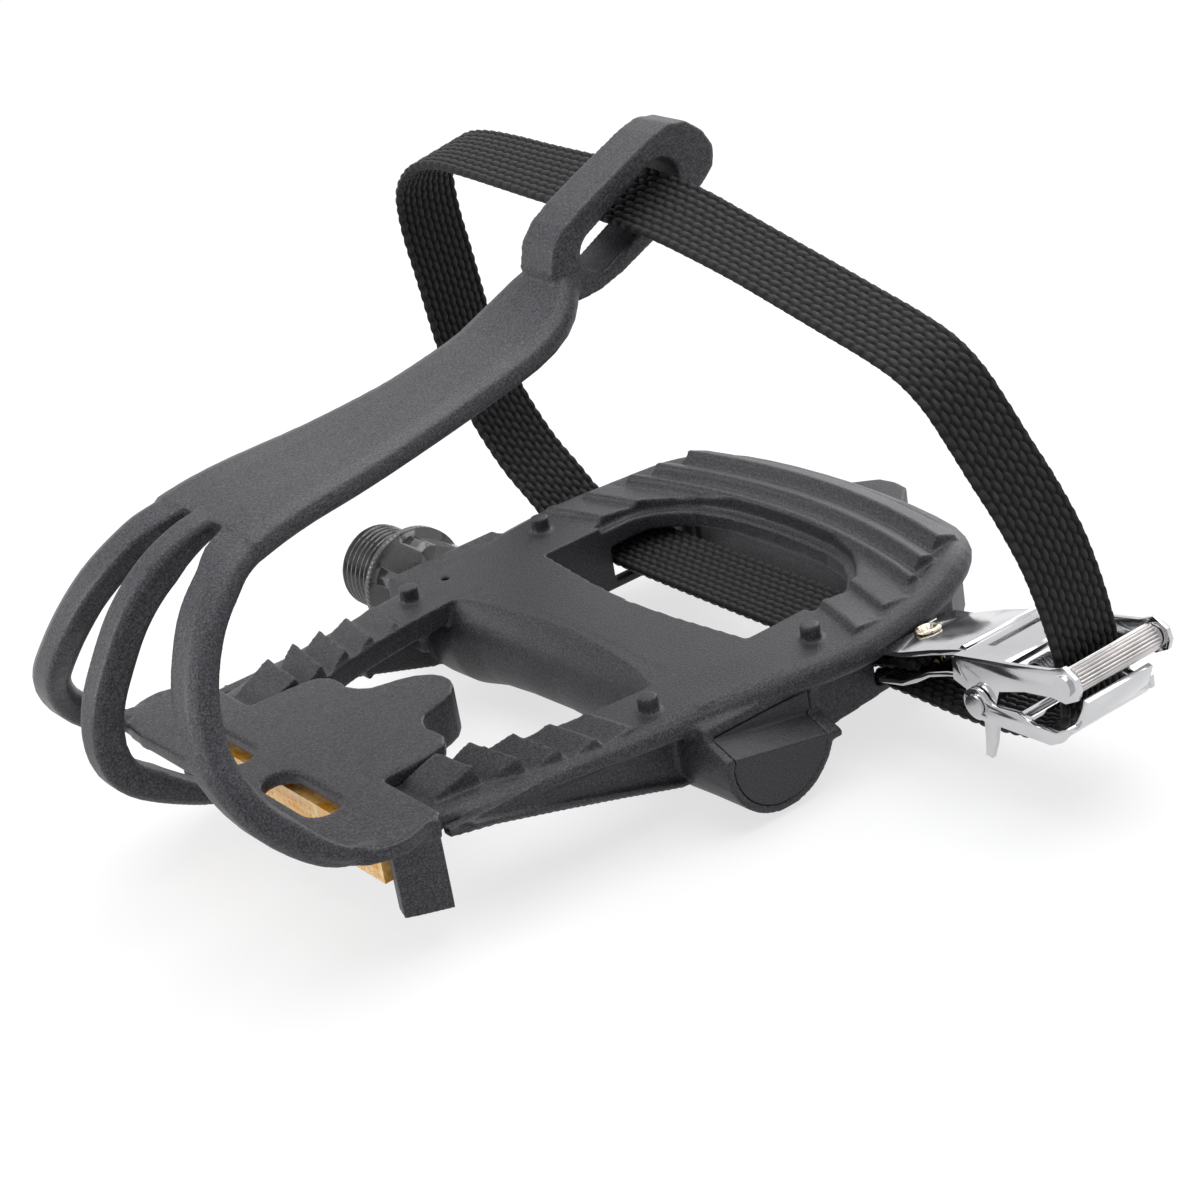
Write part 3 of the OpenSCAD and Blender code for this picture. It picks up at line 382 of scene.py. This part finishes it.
def moulded(node, slot, body, voxel, rounds, most):
    """Moulded copy of a node: its edges and inner corners get the small radii of a mould."""
    mesh = baked(welded(node), [
        ("REMESH", {"mode": "VOXEL", "voxel_size": voxel, "adaptivity": 0.0}),
        ("SMOOTH", {"factor": 0.5, "iterations": rounds}),
    ], f"{node}_fine")
    tris = sum(len(p.vertices) - 2 for p in mesh.polygons)
    if tris > most:
        mesh = baked(mesh, [("DECIMATE", {"ratio": most / tris})], f"{node}_skin")
    mesh.shade_smooth()
    return new_piece(f"{node}_skin", mesh, slot, body, node)


def edged(node, slot, body, width, steps=2):
    """Copy of a sheet metal node with its cut edges rounded."""
    mesh = welded(node)
    bm = bmesh.new()
    bm.from_mesh(mesh)
    bmesh.ops.dissolve_limit(bm, angle_limit=math.radians(1), verts=bm.verts, edges=bm.edges)
    bm.to_mesh(mesh)
    bm.free()
    mesh = baked(mesh, [("BEVEL", {
        "width": width * MM, "segments": steps, "limit_method": "ANGLE",
        "angle_limit": math.radians(38), "use_clamp_overlap": True, "miter_outer": "MITER_ARC"})],
        f"{node}_edged")
    mesh.shade_smooth()
    mesh.set_sharp_from_angle(angle=math.radians(42))
    return new_piece(f"{node}_edged", mesh, slot, body, node)


def threaded_spindle():
    """The spindle with a cut thread over the crank end in place of the plain cylinder."""
    mesh = welded("spindle")
    bm = bmesh.new()
    bm.from_mesh(mesh)
    plain = [f for f in bm.faces if f.calc_center_median().y < -0.02 * MM]
    bmesh.ops.delete(bm, geom=plain, context="FACES")
    bm.to_mesh(mesh)
    bm.free()
    mesh.shade_smooth()
    mesh.set_sharp_from_angle(angle=math.radians(30))
    new_piece("spindle_shaft", mesh, "black_steel", "spindle", "spindle")

    around, per_turn = 96, 10
    rows = int(THREAD_LEN / THREAD_PITCH * per_turn)
    points, faces = [], []
    for i in range(rows + 1):
        y = -THREAD_LEN * i / rows
        for j in range(around):
            turn = j / around
            phase = (y / THREAD_PITCH + turn) % 1
            cut = THREAD_DEPTH * max(0, 1 - abs(phase - 0.5) / 0.42)
            r = THREAD_R - cut
            r = min(r, THREAD_R - 0.9 + (y + THREAD_LEN), THREAD_R - 0.9 - y * 1.4)
            a = 2 * math.pi * turn
            points.append((r * math.cos(a), y, r * math.sin(a)))
    for i in range(rows):
        for j in range(around):
            k = (j + 1) % around
            faces.append((i * around + j, i * around + k, (i + 1) * around + k, (i + 1) * around + j))
    rim = rows * around
    ring = len(points)
    for scale, y in ((0.78, -THREAD_LEN), (0.70, -THREAD_LEN + 0.45)):
        points += [(THREAD_R * scale * math.cos(2 * math.pi * j / around), y,
                    THREAD_R * scale * math.sin(2 * math.pi * j / around)) for j in range(around)]
    for start, after in ((rim, ring), (ring, ring + around)):
        for j in range(around):
            k = (j + 1) % around
            faces.append((start + j, start + k, after + k, after + j))
    points.append((0, -THREAD_LEN + 0.45, 0))
    last = ring + around
    centre = len(points) - 1
    faces += [(last + j, last + (j + 1) % around, centre) for j in range(around)]
    mesh = mesh_from("spindle_thread", points, faces)
    mesh.set_sharp_from_angle(angle=math.radians(50))
    new_piece("spindle_thread", mesh, "black_steel", "spindle", "spindle")


# Strap

def curve_point(rows, i, t):
    """Point between rows i and i + 1 of a table, on a smooth curve through them."""
    a, b = rows[max(i - 1, 0)], rows[i]
    c, d = rows[i + 1], rows[min(i + 2, len(rows) - 1)]
    return [q + (r - p) * t / 2 + (p - 2.5 * q + 2 * r - s / 2) * t ** 2
            + (1.5 * q - p / 2 - 1.5 * r + s / 2) * t ** 3 for p, q, r, s in zip(a, b, c, d)]


def strap_stations(step):
    """Places along the strap at a fixed step: centre, width direction, outward direction."""
    fine = [curve_point(STRAP_PATH, i, k / 12) for i in range(len(STRAP_PATH) - 1) for k in range(12)]
    fine.append(list(STRAP_PATH[-1]))
    spots = [Vector((x, MID_Y + w, z)) for x, w, z, tilt in fine]
    run = [0.0]
    for a, b in zip(spots, spots[1:]):
        run.append(run[-1] + (b - a).length)
    out, i = [], 0
    count = int(run[-1] / step)
    for n in range(count + 1):
        s = run[-1] * n / count
        while i < len(run) - 2 and run[i + 1] < s:
            i += 1
        t = (s - run[i]) / (run[i + 1] - run[i])
        ahead = (spots[min(i + 2, len(spots) - 1)] - spots[max(i - 1, 0)]).normalized()
        tilt = math.radians(fine[i][3] + (fine[i + 1][3] - fine[i][3]) * t)
        across = Vector((-math.cos(tilt), 0, math.sin(tilt)))
        across = (across - ahead * across.dot(ahead)).normalized()
        out.append((spots[i].lerp(spots[i + 1], t), across, ahead.cross(across), s))
    return out


WEAVE_COLUMNS = 10
WEAVE_LENGTH = 2.05
WEAVE_HEIGHT = 0.5


def weave_height(column, u, s):
    """Height of one face of the webbing: slanted oval stitches, every second column shifted."""
    slant = 0.28 if column % 2 else -0.28
    phase = s / WEAVE_LENGTH + 0.5 * (column % 2)
    best = 0.0
    for k in (math.floor(phase), math.floor(phase) + 1):
        along = (phase - k) * 2 * 0.86 + slant * u
        best = max(best, 1 - along * along - (0.93 * u) ** 2)
    return math.sqrt(best)


def strap_face(name, side, shift):
    """One face of the strap as a height field, closed to the middle at its ends."""
    step = 0.26
    per_column = 6
    stations = strap_stations(step)
    pitch = STRAP_W / WEAVE_COLUMNS
    low = STRAP_T / 2 - WEAVE_HEIGHT
    points, faces, lifts = [], [], []
    across = WEAVE_COLUMNS * per_column
    for n, (centre, wide, out, s) in enumerate(stations):
        closed = n in (0, len(stations) - 1)
        edge = 0.28 * weave_height(0, 0.3, s)
        for j in range(across + 1):
            column = min(j // per_column, WEAVE_COLUMNS - 1)
            u = ((j - column * per_column) / per_column - 0.5) * 2
            v = (j / across - 0.5) * 2
            lift = weave_height(column, u, s + shift)
            lifts.append(lift)
            h = low + WEAVE_HEIGHT * lift
            h *= 0.0 if closed else min(1.0, (1 - v * v) * 9) ** 0.5
            half = STRAP_W / 2 - 0.25 + edge
            points.append(centre + wide * (v * half) + out * (side * h))
    wide_row = across + 1
    for n in range(len(stations) - 1):
        for j in range(across):
            a = n * wide_row + j
            quad = (a, a + 1, a + wide_row + 1, a + wide_row)
            faces.append(quad if side > 0 else quad[::-1])
    mesh = mesh_from(name, points, faces)
    # The weave height is kept as lift for the webbing material, which uses it to paint shade into the
    # low gaps
    mesh.attributes.new("lift", "FLOAT", "POINT").data.foreach_set("value", lifts)
    new_piece(name, mesh, "webbing", "pedal", "strap")


# Small metal pieces

def roller_point(x, radius, a):
    """Point round the roller's axis at an angle."""
    return (BUCKLE_X + x, MID_Y + ROLLER_W + radius * math.cos(a), ROLLER_Z + radius * math.sin(a))


def fluted_roller():
    """Roller of the buckle with straight flutes between two plain rims."""
    flutes, per_flute = 22, 8
    around = flutes * per_flute
    half = FRAME_IN - 0.15
    profile = [(-half, 0.80, 0), (-half + 0.15, 0.86, 0), (-half + 0.55, 0.86, 0),
               (-half + 0.6, 0.97, 1), (-half + 0.9, 1.0, 1)]
    profile += [(x * (half - 0.9) / 6, 1.0, 1) for x in range(-5, 6)]
    profile += [(-x, r, f) for x, r, f in reversed(profile[:5])]
    points, faces = [], []
    for x, r, fluted in profile:
        for j in range(around):
            a = 2 * math.pi * j / around
            dip = 0.30 * (0.5 - 0.5 * math.cos(2 * math.pi * j / per_flute)) ** 1.6 * fluted
            radius = ROLLER_R * r - dip
            points.append(roller_point(x, radius, a))
    for x in (profile[-1][0], profile[0][0]):
        for j in range(around):
            a = 2 * math.pi * j / around
            points.append(roller_point(x, PIN_R, a))
    rows = len(profile)
    rings = [(i, i + 1) for i in range(rows - 1)] + [(rows - 1, rows), (rows + 1, 0), (rows, rows + 1)]
    for a, b in rings:
        for j in range(around):
            k = (j + 1) % around
            faces.append((a * around + j, b * around + j, b * around + k, a * around + k))
    mesh = mesh_from("roller_fluted", points, faces)
    mesh.set_sharp_from_angle(angle=math.radians(45))
    new_piece("roller_fluted", mesh, "roller_steel", "roller", "roller")


def flared_rivet():
    """Tubular rivet: a rolled rim round a hollow that is split into petals."""
    around, petals = 72, 6
    profile = [(1.50, -5.0), (1.50, 0.0), (2.0, 0.02), (2.08, 0.18), (2.0, 0.38), (1.8, 0.52),
               (1.55, 0.58), (1.32, 0.54), (1.12, 0.40), (0.95, 0.20), (0.75, 0.02),
               (0.5, -0.12), (0.05, -0.18)]
    points, faces = [], []
    turn = Matrix.Rotation(math.radians(RIVET_TILT), 3, "X")
    for r, z in profile:
        for j in range(around):
            a = 2 * math.pi * j / around
            split = max(0.0, math.cos(petals * a)) ** 10 if 0.2 < r < 1.2 and z > -1 else 0.0
            p = turn @ Vector((r * math.cos(a), r * math.sin(a), z - 0.30 * split))
            points.append(p + Vector((BUCKLE_X - RIVET_BACK, MID_Y + RIVET_W, RIVET_Z)))
    for i in range(len(profile) - 1):
        for j in range(around):
            k = (j + 1) % around
            faces.append((i * around + j, i * around + k, (i + 1) * around + k, (i + 1) * around + j))
    faces.append(tuple(range((len(profile) - 1) * around, len(profile) * around)))
    faces.append(tuple(reversed(range(around))))
    mesh = mesh_from("rivet_flared", points, faces)
    new_piece("rivet_flared", mesh, "rivet", "pedal", "buckle_rivet")


def coil_spring():
    """The lever's return spring as one round wire wound on the pin."""
    turns, coil_r, wire = 6, 1.36, 0.28
    curve = bpy.data.curves.new("lever_spring_wire", "CURVE")
    curve.dimensions = "3D"
    curve.bevel_depth = wire * MM
    curve.bevel_resolution = 3
    spline = curve.splines.new("POLY")
    count = turns * 20
    spline.points.add(count)
    for i in range(count + 1):
        a = 2 * math.pi * i / 20
        x = BUCKLE_X - 5.3 + i / 20 * 0.62
        y = MID_Y + PIVOT_W + coil_r * math.cos(a)
        z = PIVOT_Z + coil_r * math.sin(a)
        spline.points[i].co = (x * MM, y * MM, z * MM, 1)
    obj = bpy.data.objects.new("lever_spring_wire", curve)
    bpy.context.scene.collection.objects.link(obj)
    curve.materials.append(MATERIALS["steel"])
    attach(obj, "pedal")
    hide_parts("lever_spring")


def prism_plate():
    """Front face of the reflector: rows of small three sided prisms behind its rim."""
    cell = 1.15
    points, faces = [], []
    rows = int((REFLECTOR_Z[1] - REFLECTOR_Z[0] - 0.8) / cell)
    columns = int((2 * REFLECTOR_HALF - 1.6) / cell)
    for i in range(rows):
        for j in range(columns):
            y = MID_Y - columns * cell / 2 + j * cell
            z = REFLECTOR_Z[0] + 0.4 + i * cell
            n = len(points)
            points += [(REFLECTOR_X, y, z), (REFLECTOR_X, y + cell, z),
                       (REFLECTOR_X, y + cell, z + cell), (REFLECTOR_X, y, z + cell),
                       (REFLECTOR_X + 0.16, y + cell / 2, z + cell * 0.4)]
            faces += [(n + k, n + (k + 1) % 4, n + 4) for k in range(4)]
    mesh = mesh_from("front_reflector_prisms", points, faces, False)
    new_piece("front_reflector_prisms", mesh, "reflector", "pedal")


# Lights, floor and camera

def soft_box(name, at, size, watts):
    """Square lamp aimed at the middle of the pedal."""
    lamp = bpy.data.lights.new(name, "AREA")
    lamp.shape = "RECTANGLE"
    lamp.size, lamp.size_y = size
    lamp.energy = watts
    obj = bpy.data.objects.new(name, lamp)
    bpy.context.scene.collection.objects.link(obj)
    obj.location = at
    aim = Vector((0.0, 0.05, 0.02)) - Vector(at)
    obj.rotation_euler = aim.to_track_quat("-Z", "Y").to_euler()


def seen_directly(tree):
    """1 for rays that show the background itself: camera, glossy and transmission rays."""
    path = tree.nodes.new("ShaderNodeLightPath")
    found = path.outputs["Is Camera Ray"]
    for kind in ("Is Glossy Ray", "Is Transmission Ray"):
        either = tree.nodes.new("ShaderNodeMath")
        either.operation = "MAXIMUM"
        tree.links.new(found, either.inputs[0])
        tree.links.new(path.outputs[kind], either.inputs[1])
        found = either.outputs[0]
    return found


def make_world():
    """Soft room light, with plain white where the background itself is seen."""
    world = bpy.data.worlds.new("studio")
    world.use_nodes = True
    tree = world.node_tree
    tree.nodes.clear()
    room = tree.nodes.new("ShaderNodeBackground")
    room.inputs["Color"].default_value = (0.80, 0.82, 0.85, 1)
    room.inputs["Strength"].default_value = 0.55
    white = tree.nodes.new("ShaderNodeBackground")
    white.inputs["Color"].default_value = (1, 1, 1, 1)
    white.inputs["Strength"].default_value = 1.0
    mix = tree.nodes.new("ShaderNodeMixShader")
    out = tree.nodes.new("ShaderNodeOutputWorld")
    tree.links.new(seen_directly(tree), mix.inputs["Fac"])
    tree.links.new(room.outputs[0], mix.inputs[1])
    tree.links.new(white.outputs[0], mix.inputs[2])
    tree.links.new(mix.outputs[0], out.inputs["Surface"])
    bpy.context.scene.world = world


def make_floor(height):
    """Plain white floor that keeps a soft shadow and turns into the background."""
    mesh = bpy.data.meshes.new("floor")
    size = 3.0
    corners = [(-size, -size, height), (size, -size, height), (size, size, height),
               (-size, size, height)]
    mesh.from_pydata(corners, [], [(0, 1, 2, 3)])
    floor = bpy.data.objects.new("floor", mesh)
    bpy.context.scene.collection.objects.link(floor)
    mat = bpy.data.materials.new("floor")
    mat.use_nodes = True
    tree = mat.node_tree
    tree.nodes.clear()
    paint = tree.nodes.new("ShaderNodeBsdfDiffuse")
    paint.inputs["Color"].default_value = (0.86, 0.86, 0.86, 1)
    white = tree.nodes.new("ShaderNodeEmission")
    white.inputs["Color"].default_value = (1, 1, 1, 1)
    share = tree.nodes.new("ShaderNodeMath")
    share.operation = "MULTIPLY"
    tree.links.new(seen_directly(tree), share.inputs[0])
    # The shadow stays near the pedal, and the far floor is plain white
    place = tree.nodes.new("ShaderNodeTexCoord")
    far = tree.nodes.new("ShaderNodeVectorMath")
    far.operation = "LENGTH"
    tree.links.new(place.outputs["Object"], far.inputs[0])
    fade = tree.nodes.new("ShaderNodeMapRange")
    limits = {"From Min": 0.25, "From Max": 0.6, "To Min": 0.70, "To Max": 1.0}
    for key, value in limits.items():
        fade.inputs[key].default_value = value
    tree.links.new(far.outputs["Value"], fade.inputs["Value"])
    tree.links.new(fade.outputs["Result"], share.inputs[1])
    mix = tree.nodes.new("ShaderNodeMixShader")
    tree.links.new(share.outputs[0], mix.inputs["Fac"])
    tree.links.new(paint.outputs[0], mix.inputs[1])
    tree.links.new(white.outputs[0], mix.inputs[2])
    out = tree.nodes.new("ShaderNodeOutputMaterial")
    tree.links.new(mix.outputs[0], out.inputs["Surface"])
    mesh.materials.append(mat)


def make_camera():
    """The camera of the photograph."""
    camera = bpy.data.cameras.new("camera")
    camera.lens = LENS
    camera.sensor_width = 36
    camera.clip_start = 0.01
    obj = bpy.data.objects.new("camera", camera)
    bpy.context.scene.collection.objects.link(obj)
    right = Vector(CAMERA_RIGHT).normalized()
    back = right.cross(Vector(CAMERA_UP)).normalized()
    up = back.cross(right)
    turn = Matrix((right, up, back)).transposed().to_4x4()
    obj.matrix_world = Matrix.Translation(CAMERA_AT) @ turn
    bpy.context.scene.camera = obj


make_camera()

for node, slot in NODE_SLOTS.items():
    dress(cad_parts[node], slot)
    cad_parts[node].data.shade_smooth()
    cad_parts[node].data.set_sharp_from_angle(angle=math.radians(30))

moulded("pedal_body", "body_plastic", "pedal", 0.00034, 2, 196000)
moulded("toe_clip", "clip_plastic", "pedal", 0.00038, 4, 150000)
moulded("end_cap", "cap_plastic", "pedal", 0.00016, 2, 30000)
threaded_spindle()
strap_face("strap_outer", 1, 0.0)
strap_face("strap_inner", -1, 0.9)
edged("buckle_frame", "chrome", "pedal", 0.22)
edged("buckle_base", "chrome", "pedal", 0.18)
edged("clamp_lever", "chrome", "clamp", 0.2)
edged("clip_screws", "screw_steel", "pedal", 0.3)
fluted_roller()
flared_rivet()
coil_spring()
prism_plate()

make_world()
soft_box("top_box", (-0.15, 0.0, 0.75), (0.9, 0.9), 7.6)
soft_box("left_box", (0.75, -0.35, 0.35), (0.5, 0.6), 5.0)
soft_box("back_box", (-0.75, -0.25, 0.30), (0.5, 0.5), 2.2)
make_floor(CAD_BOX[0].z - 0.0004)
bpy.context.scene.view_settings.view_transform = "Standard"
